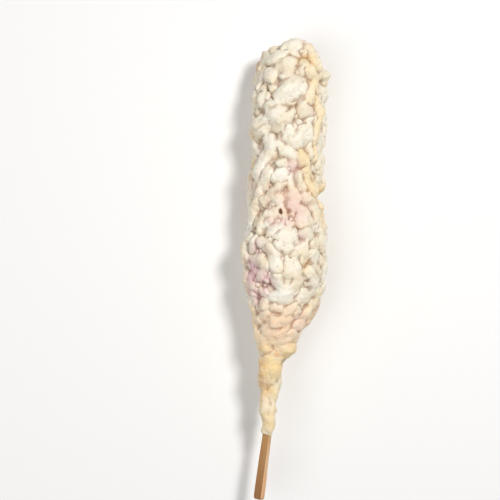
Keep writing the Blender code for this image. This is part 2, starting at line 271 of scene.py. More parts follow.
# Patches of another colour on the shown side: (along, x, reach along, reach across, strength)
TINTS = {
    # Flour and water fried to a grey pink, where the coat is thin and damp
    "mauve": (
        (66, 3, 5, 4, 0.6),
        (84, 2, 9, 8, 0.5),
        (92, -3, 4, 9, 0.55),
        (105, -13.5, 5, 4, 0.6),
        (117, -16, 8, 4.5, 1.0),
        (122, -9.5, 7, 4, 0.9),
        (99.5, 7, 3, 2.5, 0.7),
        (21.8, 3, 2, 4, 0.3),
        (56, -11, 2.2, 4, 0.4),
        (128, -14.5, 6, 5, 0.8),
        (140, 7, 8, 5, 0.35),
    ),
    # Oil and heat: yellow drips, the lump at the bottom and the neck
    "yellow": (
        (156.3, 0.7, 7, 8, 1.0),
        (154, -10, 6, 6, 0.8),
        (164, -8, 9, 8, 1.0),
        (178, -8, 9, 8, 0.9),
        (190, -8, 8, 8, 0.7),
        (73.5, 11.5, 7, 3, 0.4),
        (26, 13, 13, 3, 0.35),
        (13, 9.5, 3.5, 3.5, 0.9),
        (47, 15, 9, 2.5, 0.4),
        (16, 3, 5, 3, 0.15),
        (112, 9, 6, 2.5, 0.5),
        (146, -14, 9, 3.5, 0.6),
        (136, 10, 10, 5, 0.4),
    ),
    # Warmer and darker than the rest, where the body narrows
    "peach": (
        (143, -3, 12, 12, 0.9),
        (84, 0, 11, 10, 0.65),
        (131, 2, 6, 9, 0.4),
        (90, -13, 4, 4, 0.4),
    ),
    # Dry flour that stayed white
    "flour": (
        (69, -4.2, 4.5, 5, 1.0),
        (112, -4.5, 13, 3.2, 0.9),
        (128.5, -2, 3.8, 6.5, 1.0),
        (69, -11.5, 12, 4.5, 0.8),
        (28, 3, 5, 6.5, 0.9),
        (40.5, -8, 4, 6, 0.7),
        (21.2, -1.7, 2, 2, 1.0),
        (19, -7, 4, 4, 0.5),
        (97, -4, 4, 6, 0.9),
        (101, 1, 5, 6, 0.6),
        (86, -9, 3, 3, 0.7),
        (83, -5, 3, 4, 0.5),
        (104, -12, 3, 2.5, 0.7),
        (49, 9, 5, 4, 0.5),
        (41, 1.5, 5, 3, 0.4),
        (181, -9.5, 4, 3.5, 0.5),
        (174, -4, 12, 2.5, 0.35),
    ),
    # Orange brown, partly browning and partly painted shade: in the deepest creases of the yellow part,
    #     and down the left side of the neck, which is turned from the light
    "toast_and_shade": (
        (157.6, -4.6, 1.6, 2.4, 1.0),
        (164, -11.5, 6, 3.2, 0.8),
        (171, -11.6, 6, 3.4, 0.8),
        (179, -12, 5, 2.8, 0.5),
        (112, 10, 2.6, 1.6, 0.7),
        (11.5, 8.5, 2.5, 2.5, 0.35),
        (76, 9.3, 4.5, 1.0, 0.6),
        (82.5, 17.5, 2, 1.5, 0.6),
        (176, -13.5, 6, 1.6, 0.5),
        (161, -11, 5, 2.5, 0.5),
    ),
}
# A patch reaches a little further round the food than across the picture
TINT_WIDENING = 1.3
# Patches on the sides that don't show follow the same mixture by a rule
HIDDEN_TINTS = {"mauve": 20, "yellow": 20, "peach": 14, "flour": 40, "toast_and_shade": 6}
HIDDEN_ALONG = (2, 151)
HIDDEN_ANGLES = (math.radians(80), math.radians(280))
HIDDEN_REACH = (3, 9)
HIDDEN_STRENGTH = (0.4, 1)

# Dents in the outline, between crags: along, angle from the top towards +X, reach along and across, depth
DENTS = (
    (80, 88, 3.2, 8, 4.0),
    (69, 88, 5, 6, 1.4),
    (147.5, 75, 2.5, 6, 2.0),
    (143, 82, 3.5, 6, 1.4),
    (14, 80, 2.5, 6, 1.6),
    (33, 88, 2.5, 5, 1.4),
    (88, -88, 4, 6, 1.2),
    (161.3, 64, 1.8, 4.4, 0.9),
    (159, -85, 1.8, 5, 1.6),
    (163.5, -88, 3, 4, 1.2),
    (164.5, 88, 6, 4, 1.2),
    (182, 88, 12, 4, 1.3),
    (154, -80, 3, 5, 1.3),
    (177, -88, 5, 4, 1.2),
    (187, 88, 2.5, 4, 1.0),
    (194, -85, 2.5, 4, 1.3),
    (196, 85, 2.0, 4, 0.7),
)

# A burst bubble, a small pit whose wall is painted dark brown as the shade inside it: along, x, reach
# along and across, depth. Only the shown side is pressed in, which is where a patch of this reach is at
# least this strong
PIT = (87.2, -3.3, 1.6, 1.05, 1.5)
PIT_SIDE_REACH = 9
PIT_SIDE_SHARE = 0.5

# How crags meet: each is a dome that runs on under its neighbours, and the higher one shows. Its foot
# is CRAG_FOOT times as wide as what shows, and creases are cut a little deeper where two domes meet
CRAG_FOOT = 1.6
CRAG_ROUNDNESS = 0.62
CREASE_DEPTH = 1.7 * MM
CREASE_WIDTH = 0.36 * MM
CREASE_FADE_SIZE = 5 * MM
# The seam, a thin line along each crease that is painted darker as shade, is this wide
SEAM_WIDTH = 0.22 * MM
# Here and there two lumps run into each other instead, with a soft dip between them
CREASE_SHARE = 0.5
CREASE_CONTRAST = 1.6
MERGE_REACH = 2.4 * MM
MERGE_LEAST = 0.02
# More of them do where the body narrows, all along the last two thirds of it
TAPER_CALM = 0.6
CALM_START = 3
# How floury the skin between crags is, and the neck, and the passes that blend the tones of crags
BARE_TONE = 0.3
CALM_TONE = 0.45
TONE_PASSES = 3
# How far the skin lies inside the core of the solids, which have fewer and lower crags
INSET = 0.7 * MM
COAT = 0.7 * MM
NECK_COAT = -1.4 * MM
# The heights above are counted from the core, but here a crag starts deeper, for creases to be cut in it
SINK = 0.9 * MM
UNEVEN_SIZE = 7 * MM
UNEVEN_HEIGHT = 0.5
# Slow and quick bends of the creases: (size, depth)
CREASE_BENDS = (
    (6 * MM, 0.9 * MM),
    (2.8 * MM, 0.9 * MM),
)

# Batter mesh, the slab that cuts it off below, and how deep it lies in creases and in broad hollows:
# passes of smoothing that it is measured against, and the depth that counts as full
BATTER_GRID = 0.5 * MM
WELD = 0.01 * MM
FLOOR_SLAB = (200 * MM, 400 * MM, 40 * MM)
# The material darkens these creases and broad hollows as painted shade
HOLLOWS = {
    "crease": (8, 0.16 * MM),
    "hollow": (60, 0.7 * MM),
}
SMOOTH_FACTOR = 0.5
SKIN_SMOOTH_PASSES = 12
CREASE_SMOOTH_PASSES = 2
# Relief on every crag: its pattern and size, how far it stands out, and the level that stays where it is
RELIEF = {
    "lobes": ("VORONOI", 4.2 * MM, -0.9 * MM, 0.3, {"distance_metric": "DISTANCE_SQUARED"}),
    "beads": ("VORONOI", 1.9 * MM, -0.3 * MM, 0.3, {"distance_metric": "DISTANCE_SQUARED"}),
    "crumbs": ("CLOUDS", 1.1 * MM, 0.2 * MM, 0.5, {"noise_depth": 2}),
}

# Patterns in the batter's colour, as size and detail: it thins and thickens over a crag's width, patches
# have ragged edges, and mottles and specks of dry flour lie about a millimetre apart
BATTER_PATTERNS = ((7 * MM, 2), (2.5 * MM, 3), (1.3 * MM, 3), (0.9 * MM, 2))
# Pinholes left by steam are about half a millimetre wide, one in each four millimetres
PINHOLE_SPACING = 4 * MM
# Small lumps of flour and grains of it: size and height
GRAINS = ((1.4 * MM, 0.25 * MM), (0.6 * MM, 0.16 * MM))

# Fibre bundles of bamboo are about half a millimetre wide and run on for centimetres, in broader bands
# and with short pores: width, length and detail of bands, bundles and pores
BAMBOO_PATTERNS = ((1.4 * MM, 60 * MM, 2), (0.45 * MM, 30 * MM, 3), (0.22 * MM, 9 * MM, 2))
# Length of stick that darkens towards its free end, and how far from the edge its narrow sides begin
STICK_BARE = 34 * MM
NARROW_SIDE = (0.7 * MM, 0.25 * MM)

# Picture: its middle in millimetres from the tip and from the Y axis, and the width that it takes in
VIEW_ALONG = 106 * MM
VIEW_X = -18 * MM
VIEW_WIDTH = 250 * MM
VIEW_DISTANCE = 800 * MM
VIEW_END = 10
SENSOR = 36.0
FLOOR_SIZE = 4

# Lights: place and width in metres, power in watts, and the place that they point at
LIGHTS = {
    "key_light": ((0.38, 0.3, 0.87), 0.22, 6.7),
    "fill_light": ((-0.48, -0.2, 0.85), 0.8, 4.0),
}
LIGHT_TARGET = (0, -20 * MM, 0)
WORLD_LIGHT = 0.16


def srgb(code, alpha=1.0):
    """A colour as Blender's shaders take it, from its sRGB hex value."""
    channels = [int(code[index:index + 2], 16) / 255 for index in (1, 3, 5)]
    linear = [c / 12.92 if c <= 0.04045 else ((c + 0.055) / 1.055) ** 2.4 for c in channels]
    return (*linear, alpha)


def add_node(tree, kind, links=None, **settings):
    """Adds a node, sets its settings, and links or fills its sockets."""
    node = tree.nodes.new(kind)
    for name, value in settings.items():
        setattr(node, name, value)
    for socket, value in (links or {}).items():
        if isinstance(value, bpy.types.NodeSocket):
            tree.links.new(value, node.inputs[socket])
        else:
            node.inputs[socket].default_value = value
    return node


def smooth_step(value, low, high):
    share = min(1.0, max(0.0, (value - low) / (high - low)))
    return share * share * (3 - 2 * share)


def core_radius(along):
    """Radius of the core: an elliptic dome, then smooth steps from station to station."""
    first_along, first_radius = CORE_STATIONS[0]
    if along <= first_along:
        rest = (DOME_END - along) / (DOME_END - DOME_START)
        return first_radius * math.sqrt(max(0.0, 1 - rest * rest))
    index = bisect.bisect_left([station[0] for station in CORE_STATIONS], along)
    if index == len(CORE_STATIONS):
        return CORE_STATIONS[-1][1]
    low, high = CORE_STATIONS[index - 1], CORE_STATIONS[index]
    share = smooth_step(along, low[0], high[0])
    return low[1] + share * (high[1] - low[1])


def stick_x(along):
    return STICK_END_X + STICK_LEAN * (along - STICK_END)


def core_centre(along):
    """The middle of the core: nearly straight in the body, then over to the neck beside the stick."""
    body_x = BODY_OFFSET + BODY_LEAN * along + TIP_SHIFT * (1 - smooth_step(along, 0, DOME_END))
    sag = NECK_SAG * min(1, max(0, (NECK_THIN - along) / (NECK_THIN - NECK_START)))
    share = smooth_step(along, TAPER_START, NECK_START)
    x = body_x + share * (stick_x(along) - sag - body_x)
    return Vector((x, TIP_Y - along, AXIS_HEIGHT + AXIS_RISE * along))


def core_point(along, angle):
    """A point on the core. The angle is 0 at the top and grows towards +X. The neck flattens."""
    out = Vector((math.sin(angle), 0, math.cos(angle)))
    share = smooth_step(along, NECK_START, NECK_THIN)
    thin = Vector((-math.sin(STICK_TURN), 0, math.cos(STICK_TURN)))
    out -= share * (1 - NECK_FLATNESS) * out.dot(thin) * thin
    point = core_centre(along) + core_radius(along) * out
    point.y -= share * END_SLANT * math.sin(angle)
    return point


def angle_at(along, x):
    """The angle of the upper point of the core that has this x."""
    across = (x - core_centre(along).x) / max(core_radius(along), MM)
    return math.asin(min(OUTLINE_SHARE, max(-OUTLINE_SHARE, across)))


def surface_frame(along, angle, turn):
    """A matrix at a point of the core: X along the crag, Y across it and Z out of the surface."""
    around = core_point(along, angle + SLOPE_ANGLE) - core_point(along, angle - SLOPE_ANGLE)
    around.normalize()
    nearer_tip = core_point(max(along - SLOPE_STEP, DOME_START), angle)
    towards_tip = nearer_tip - core_point(along + SLOPE_STEP, angle)
    outward = around.cross(towards_tip).normalized()
    towards_tip = outward.cross(around).normalized()
    heading = math.cos(turn) * around + math.sin(turn) * towards_tip
    placed = Matrix((heading, outward.cross(heading), outward)).transposed().to_4x4()
    placed.translation = core_point(along, angle)
    return placed


def deselect_all():
    if bpy.context.object and bpy.context.object.mode != "OBJECT":
        bpy.ops.object.mode_set(mode="OBJECT")
    bpy.ops.object.select_all(action="DESELECT")


def make_active(obj):
    deselect_all()
    obj.select_set(True)
    bpy.context.view_layer.objects.active = obj


def apply_modifier(obj, kind, **settings):
    """Adds a modifier with its settings and applies it."""
    make_active(obj)
    modifier = obj.modifiers.new(kind.lower(), kind)
    for name, value in settings.items():
        setattr(modifier, name, value)
    bpy.ops.object.modifier_apply(modifier=modifier.name)


def model_skin():
    """The skin under the crags: a sheet of squares rolled round the axis, closed and evened out."""
    deselect_all()
    steps = round((BATTER_END - DOME_START) / CORE_STEP)
    bpy.ops.mesh.primitive_grid_add(x_subdivisions=CORE_SIDES, y_subdivisions=steps, size=1)
    skin = bpy.context.object
    skin.name = "batter"
    for vert in skin.data.vertices:
        angle = (vert.co.x + 0.5) * math.tau
        share = 0.5 - vert.co.y
        along = DOME_START + TIP_HOLE + share * (BATTER_END - DOME_START - TIP_HOLE)
        vert.co = core_point(along, angle)
    bpy.ops.object.mode_set(mode="EDIT")
    bpy.ops.mesh.select_all(action="SELECT")
    bpy.ops.mesh.remove_doubles(threshold=WELD)
    bpy.ops.mesh.fill_holes(sides=0)
    bpy.ops.mesh.select_all(action="SELECT")
    bpy.ops.mesh.normals_make_consistent(inside=False)
    bpy.ops.object.mode_set(mode="OBJECT")
    apply_modifier(skin, "REMESH", mode="VOXEL", voxel_size=BATTER_GRID)
    apply_modifier(skin, "SMOOTH", factor=SMOOTH_FACTOR, iterations=SKIN_SMOOTH_PASSES)
    return skin


def shown_crags(draw):
    """The listed crags, and the middle and width of each."""
    crags = []
    taken = []
    for along, x, length, width, height, turn in DOME_CRAGS + MIDDLE_CRAGS + BELLY_CRAGS + TAPER_CRAGS:
        along, length, width = along * MM, length * MM, width * MM
        angle = angle_at(along, x * MM)
        place = surface_frame(along, angle, math.radians(turn))
        tilts = [draw.uniform(-TILT, TILT) for way in range(2)]
        crags.append(Crag([place], length, width, height * MM, draw.uniform(-BEND, BEND), tilts))
        taken.append((core_point(along, angle), (length + width) / 2))
    for along, length, width, height in RESTING_CRAGS:
        place = surface_frame(along * MM, math.pi, math.pi / 2)
        crags.append(Crag([place], length * MM, width * MM, height * MM, 0, (0, 0)))
        taken.append((core_point(along * MM, math.pi), (length + width) / 2 * MM))
    for width, yellow, passed in RIDGES:
        width *= MM
        places = []
        for (along, x), (last_along, last_x) in zip(passed, passed[1:]):
            turn = math.atan2(along - last_along, last_x - x)
            count = math.ceil(math.hypot(last_along - along, last_x - x) * MM / RIDGE_STEP)
            for index in range(count + 1):
                share = index / count
                bead_along = (along + share * (last_along - along)) * MM
                angle = angle_at(bead_along, (x + share * (last_x - x)) * MM)
                places.append(surface_frame(bead_along, angle, turn))
                taken.append((core_point(bead_along, angle), width))
        height = (RIDGE_HEIGHT + RIDGE_SLOPE * width) * min(1, core_radius(bead_along) / RIDGE_CORE)
        crags.append(Crag(places, RIDGE_BEAD * width, width, height, 0, (0, 0), yellow))
    return crags, taken


def spread_crags(crags, taken, draw):
    """Crags all over the rest of the food, as near to each other as the spacing lets them."""
    widest = max(radius for place, radius in CORE_STATIONS)
    for draws, spacing, reach_along, *bounds in CRAG_PASSES:
        for attempt in range(draws):
            along = draw.uniform(*reach_along) * MM
            angle = draw.uniform(-math.pi, math.pi)
            length, width, height = (draw.uniform(*limits) * MM for limits in bounds)
            turn = draw.uniform(0, math.pi)
            bend = draw.uniform(-BEND, BEND)
            tilts = [draw.uniform(-TILT, TILT) for way in range(2)]
            if draw.uniform(0, widest) > core_radius(along):
                continue
            middle = core_point(along, angle)
            height *= core_radius(along) / widest
            room = spacing / 2
            if abs(angle) < SHOWN_ANGLE:
                height *= SHOWN_SHARE
            if all((middle - other).length > room * (across + width) for other, across in taken):
                place = surface_frame(along, angle, turn)
                crags.append(Crag([place], length, width, height, bend, tilts))
                taken.append((middle, width))


def read_points(mesh, name="co"):
    """The places or the normals of a mesh's points, as rows."""
    values = np.empty(len(mesh.vertices) * 3)
    mesh.vertices.foreach_get(name, values)
    return values.reshape(-1, 3)


def write_attribute(mesh, name, values):
    attribute = mesh.attributes.new(name, "FLOAT", "POINT")
    attribute.data.foreach_set("value", values)


def mesh_edges(mesh):
    """The pairs of points that the edges join, and how many neighbours each point has."""
    edges = np.empty(len(mesh.edges) * 2, dtype=np.int64)
    mesh.edges.foreach_get("vertices", edges)
    counts = np.bincount(edges, minlength=len(mesh.vertices)).astype(float)
    return edges.reshape(-1, 2), counts


def neighbour_mean(values, edges, counts):
    """The mean of each point's neighbours."""
    total = np.zeros_like(values)
    for column in range(values.shape[1]):
        total[:, column] += np.bincount(edges[:, 0], values[edges[:, 1], column], len(values))
        total[:, column] += np.bincount(edges[:, 1], values[edges[:, 0], column], len(values))
    return total / counts[:, None]


def crag_height(points, crag):
    """How high a crag stands at each point, as a dome over each of its beads."""
    highest = np.zeros(len(points))
    for place in crag.places:
        local = (points - np.array(place.translation)) @ np.array(place.to_3x3())
        along = local[:, 0] / (crag.length / 2)
        across = local[:, 1] / (crag.width / 2) + crag.bend * (along ** 2 - BEND_MIDDLE)
        deep = local[:, 2] / (crag.width / 2)
        spread = (along ** 2 + across ** 2 + deep ** 2) / CRAG_FOOT ** 2
        lean = 1 + np.clip(crag.tilts[0] * along + crag.tilts[1] * across, -MOST_LEAN, MOST_LEAN)
        dome = np.clip(1 - spread, 0, 1) ** CRAG_ROUNDNESS
        highest = np.maximum(highest, (crag.height + SINK) * lean * dome)
    return highest


def patch_strength(points, along, angle, reach_along, reach_across):
    """How strongly a round patch at a place of the core covers each point."""
    offset = points - np.array(core_point(along * MM, angle))
    across = offset[:, 0] ** 2 + offset[:, 2] ** 2
    spread = (offset[:, 1] / reach_along) ** 2 + across / reach_across ** 2
    return np.exp(-spread / MM ** 2)


def bend_places(points):
    """The points moved about by noise, so that creases measured at them wander."""
    moved = points.copy()
    for size, depth in CREASE_BENDS:
        moved += depth * np.array([noise.noise_vector(Vector(point) / size) for point in points])
    return moved


def raise_crags(obj, crags):
    """Moves the skin out to the highest crag at each point, and cuts the creases between them."""
    points = read_points(obj.data)
    asked = bend_places(points)
    order = np.argsort(asked[:, 1])
    rows = asked[order, 1]
    bare = np.clip((TIP_Y - points[:, 1] - TAPER_START) / (NECK_START - TAPER_START), 0, 1)
    first = COAT + bare * (NECK_COAT - COAT)
    first += SINK
    second = first - MERGE_REACH * 2
    owner = np.full(len(points), len(crags))
    for index, crag in enumerate(crags):
        reach = CRAG_FOOT * max(crag.length, crag.width)
        middles = [place.translation.y for place in crag.places]
        low, high = np.searchsorted(rows, (min(middles) - reach, max(middles) + reach))
        near = order[low:high]
        height = crag_height(asked[near], crag)
        higher = height > first[near]
        second[near] = np.where(higher, first[near], np.maximum(second[near], height))
        first[near] = np.where(higher, height, first[near])
        owner[near] = np.where(higher, index, owner[near])
    uneven = np.array([noise.noise(Vector(point) / UNEVEN_SIZE) for point in points])
    raised = first * (1 + UNEVEN_HEIGHT * uneven) - SINK - INSET * (1 - bare)
    fade = np.array([noise.noise(Vector(point) / CREASE_FADE_SIZE) for point in points])
    fade = np.clip(CREASE_SHARE + CREASE_CONTRAST * fade, 0, 1)
    fade *= 1 - TAPER_CALM * np.clip(CALM_START * bare, 0, 1)
    # Two heights that are nearly equal run into each other in a curve, highest where they meet
    step = first - second
    merge = MERGE_REACH * (1 + bare) * (1 + MERGE_LEAST - fade)
    raised += merge / 4 * np.clip(1 - step / merge, 0, 1) ** 2
    raised -= CREASE_DEPTH * fade * np.exp(-step / CREASE_WIDTH)
    for along, angle, reach_along, reach_across, depth in DENTS:
        dent = patch_strength(points, along, math.radians(angle), reach_along, reach_across)
        raised -= depth * MM * dent
    # The seam is a thin line along each crease that the material darkens as painted shade
    write_attribute(obj.data, "seam", fade * np.exp(-step / SEAM_WIDTH))
    points += read_points(obj.data, "normal") * raised[:, None]
    obj.data.vertices.foreach_set("co", points.ravel())
    obj.data.update()

    # No two crags have quite the same tone: some are floury and white, some creamier
    draw = random.Random(SEED + 2)
    tones = [(draw.random(), crag.yellow) for crag in crags] + [(BARE_TONE, 0)]
    tones = np.array(tones)[owner]
    edges, counts = mesh_edges(obj.data)
    for count in range(TONE_PASSES):
        tones = neighbour_mean(tones, edges, counts)
    write_attribute(obj.data, "tone", tones[:, 0] * (1 - bare) + CALM_TONE * bare)
    write_attribute(obj.data, "drip", tones[:, 1])


def write_tints(obj):
    """Stores how much of each tint a point has: listed patches on top, by a rule elsewhere."""
    points = read_points(obj.data)
    draw = random.Random(SEED + 1)
    for name, patches in TINTS.items():
        strength = np.zeros(len(points))
        for along, x, reach_along, reach_across, most in patches:
            angle = angle_at(along * MM, x * MM)
            patch = most * patch_strength(points, along, angle, reach_along, TINT_WIDENING * reach_across)
            strength = np.maximum(strength, patch)
        for index in range(HIDDEN_TINTS[name]):
            along = draw.uniform(*HIDDEN_ALONG)
            angle = draw.uniform(*HIDDEN_ANGLES)
            reaches = [draw.uniform(*HIDDEN_REACH) for way in range(2)]
            patch = draw.uniform(*HIDDEN_STRENGTH) * patch_strength(points, along, angle, *reaches)
            strength = np.maximum(strength, patch)
        write_attribute(obj.data, name, strength)


def sink_pit(obj):
    """Presses the burst bubble in along the surface's own normals, and marks its wall for painted shade.
    """
    along, x, reach_along, reach_across, depth = PIT
    points = read_points(obj.data)
    angle = angle_at(along * MM, x * MM)
    shown = patch_strength(points, along, angle, PIT_SIDE_REACH, PIT_SIDE_REACH) > PIT_SIDE_SHARE
    offset_y = points[:, 1] - (TIP_Y - along * MM)
    offset_x = points[:, 0] - x * MM
    spread = (offset_y / reach_along) ** 2 + (offset_x / reach_across) ** 2
    share = shown * np.exp(-(spread / MM ** 2) ** 2)
    points -= read_points(obj.data, "normal") * (depth * MM * share)[:, None]
    obj.data.vertices.foreach_set("co", points.ravel())
    obj.data.update()
    write_attribute(obj.data, "pit", share)


def write_hollows(obj):
    """Stores how deep each point lies in a crease and in a broad hollow, for the painted shade in the
    material.
    """
    mesh = obj.data
    points = read_points(mesh)
    normals = read_points(mesh, "normal")
    edges, counts = mesh_edges(mesh)
    level = points.copy()
    for name, (passes, full) in HOLLOWS.items():
        for count in range(passes):
            level = neighbour_mean(level, edges, counts)
        depth = ((level - points) * normals).sum(axis=1) / full
        write_attribute(mesh, name, np.clip(depth, -1, 1))


def make_batter():
    """The crust: a skin raised in crags that meet in creases, with lobes and crumbs on them."""
    crags, taken = shown_crags(random.Random(SEED))
    spread_crags(crags, taken, random.Random(SEED + 3))
    batter = model_skin()
    raise_crags(batter, crags)
    apply_modifier(batter, "SMOOTH", factor=SMOOTH_FACTOR, iterations=CREASE_SMOOTH_PASSES)
    for name, (kind, size, depth, level, settings) in RELIEF.items():
        texture = bpy.data.textures.new(name, kind)
        texture.noise_scale = size
        for key, value in settings.items():
            setattr(texture, key, value)
        displaced = {"texture": texture, "texture_coords": "LOCAL", "strength": depth, "mid_level": level}
        apply_modifier(batter, "DISPLACE", **displaced)
    press_flat(batter)
    bpy.ops.object.shade_smooth()
    write_hollows(batter)
    write_tints(batter)
    sink_pit(batter)
    batter.data.materials.clear()
    batter.data.materials.append(batter_material())
    triangles = sum(len(face.vertices) - 2 for face in batter.data.polygons)
    print("batter:", len(crags), "crags,", triangles, "triangles")
    return batter


def press_flat(obj):
    """Cuts the underside off at the plane that the food rests on."""
    deselect_all()
    middle = (0, 0, -FLOOR_SLAB[2] / 2)
    bpy.ops.mesh.primitive_cube_add(size=1, location=middle, scale=FLOOR_SLAB)
    slab = bpy.context.object
    apply_modifier(obj, "BOOLEAN", operation="DIFFERENCE", solver="MANIFOLD", object=slab)
    bpy.data.objects.remove(slab)
    make_active(obj)


def layer_colours(tree, colour, layers):
    """The colour with layers laid over it: (amount, where it starts and is full, most, colour, blend)."""
    for amount, low, high, most, tint, blend_type in layers:
        limits = {"Value": amount, "From Min": low, "From Max": high, "To Max": most}
        share = add_node(tree, "ShaderNodeMapRange", limits).outputs["Result"]
        sockets = {0: share, 6: colour, 7: tint}
        mix = add_node(tree, "ShaderNodeMix", sockets, data_type="RGBA", blend_type=blend_type)
        colour = mix.outputs[2]
    return colour


def batter_material():
    """Fried batter of flour and water: matt, a little see-through, pale, and painted darker in its
    creases and hollows as shade.
    """
    material = bpy.data.materials.new("fried_batter")
    material.use_nodes = True
    tree = material.node_tree
    shader = tree.nodes["Principled BSDF"]
    place = add_node(tree, "ShaderNodeTexCoord").outputs["Object"]
    amounts = {
        name: add_node(tree, "ShaderNodeAttribute", attribute_name=name).outputs["Fac"]
        for name in ("tone", "drip", "seam", "crease", "hollow", "pit", *TINTS)
    }

    broad, ragged, mottle, speck = (
        add_node(tree, "ShaderNodeTexNoise", {"Vector": place, "Scale": 1 / size, "Detail": detail})
        for size, detail in BATTER_PATTERNS
    )
    ragged_limits = {"Value": ragged.outputs["Fac"], "From Min": 0.3, "From Max": 0.7}
    limits = {**ragged_limits, "To Min": 0.7, "To Max": 1.3}
    edge = add_node(tree, "ShaderNodeMapRange", limits).outputs["Result"]
    for name in ("drip", *TINTS):
        sockets = {0: amounts[name], 1: edge}
        amounts[name] = add_node(tree, "ShaderNodeMath", sockets, operation="MULTIPLY").outputs[0]
    # The flouriest crags cross the mauve patches and stay cream
    limits = {"Value": amounts["tone"], "From Min": 0.6, "From Max": 0.9, "To Max": 0.45, "To Min": 1.0}
    sockets = {0: amounts["mauve"], 1: add_node(tree, "ShaderNodeMapRange", limits).outputs["Result"]}
    amounts["mauve"] = add_node(tree, "ShaderNodeMath", sockets, operation="MULTIPLY").outputs[0]
    pinholes = add_node(tree, "ShaderNodeTexVoronoi", {"Vector": place, "Scale": 1 / PINHOLE_SPACING})

    colour = layer_colours(tree, srgb("#F0E3C8"), (
        (broad.outputs["Fac"], 0.35, 0.65, 0.8, srgb("#F9F2E2"), "MIX"),
        (amounts["tone"], 0.5, 1.0, 0.5, srgb("#FCF8EA"), "MIX"),
        (amounts["tone"], 0.4, 0.0, 0.5, srgb("#EFDDC0"), "MIX"),
        (amounts["drip"], 0.1, 1.0, 0.7, srgb("#F8DFAE"), "MIX"),
        (amounts["yellow"], 0.1, 0.9, 1.0, srgb("#F8DCA6"), "MIX"),
        (amounts["peach"], 0.1, 0.9, 0.8, srgb("#FBD5B0"), "MIX"),
        (amounts["mauve"], 0.1, 0.9, 1.0, srgb("#EDC4C8"), "MIX"),
        (amounts["flour"], 0.1, 0.9, 1.0, srgb("#FFF9EB"), "MIX"),
        (mottle.outputs["Fac"], 0.52, 0.68, 0.4, srgb("#EADBCC"), "MULTIPLY"),
        (speck.outputs["Fac"], 0.6, 0.75, 0.5, srgb("#FCF7EC"), "MIX"),
        # Painted shade where little light reaches: broad hollows first, then the creases and the seams in
        # them
        (amounts["hollow"], 0.0, 0.9, 1.0, srgb("#E7DDD7"), "MULTIPLY"),
        (amounts["crease"], 0.5, 1.0, 0.5, srgb("#CCC1BD"), "MULTIPLY"),
        (amounts["seam"], 0.25, 1.0, 1.0, srgb("#AE968C"), "MULTIPLY"),
        # Orange brown in deep creases and down the left of the neck: partly browning, partly painted
        # shade
        (amounts["toast_and_shade"], 0.1, 1.0, 0.6, srgb("#D8A57A"), "MULTIPLY"),
        (pinholes.outputs["Distance"], 0.1, 0.05, 0.4, srgb("#B0937C"), "MULTIPLY"),
        # The pit's wall is painted dark brown as the shade inside it
        (amounts["pit"], 0.2, 0.8, 1.0, srgb("#6B4522"), "MIX"),
    ))
    tree.links.new(colour, shader.inputs["Base Color"])

    normal = None
    for size, height in GRAINS:
        grains = add_node(tree, "ShaderNodeTexNoise", {"Vector": place, "Scale": 1 / size, "Detail": 3})
        sockets = {"Height": grains.outputs["Fac"], "Distance": height, "Strength": 1.0}
        if normal:
            sockets["Normal"] = normal
        normal = add_node(tree, "ShaderNodeBump", sockets).outputs["Normal"]
    tree.links.new(normal, shader.inputs["Normal"])
    limits = {**ragged_limits, "To Min": 0.55, "To Max": 0.8}
    roughness = add_node(tree, "ShaderNodeMapRange", limits).outputs["Result"]
    tree.links.new(roughness, shader.inputs["Roughness"])
    shader.inputs["Specular IOR Level"].default_value = 0.3
    shader.inputs["Subsurface Weight"].default_value = 0.2
    shader.inputs["Subsurface Radius"].default_value = (1.0, 0.7, 0.45)
    shader.inputs["Subsurface Scale"].default_value = 1.2 * MM
    return material


def stick_frame():
    """The stick's own axes at its free end: X across its width, Y through it and Z along it."""
    start, end = (
        Vector((stick_x(along), TIP_Y - along, AXIS_HEIGHT + AXIS_RISE * along))
        for along in (STICK_START, STICK_END)
    )
    out = (end - start).normalized()
    through = Vector((-math.sin(STICK_TURN), 0, math.cos(STICK_TURN)))
    through = (through - through.dot(out) * out).normalized()
    placed = Matrix((through.cross(out), through, out)).transposed().to_4x4()
    placed.translation = end
    return placed


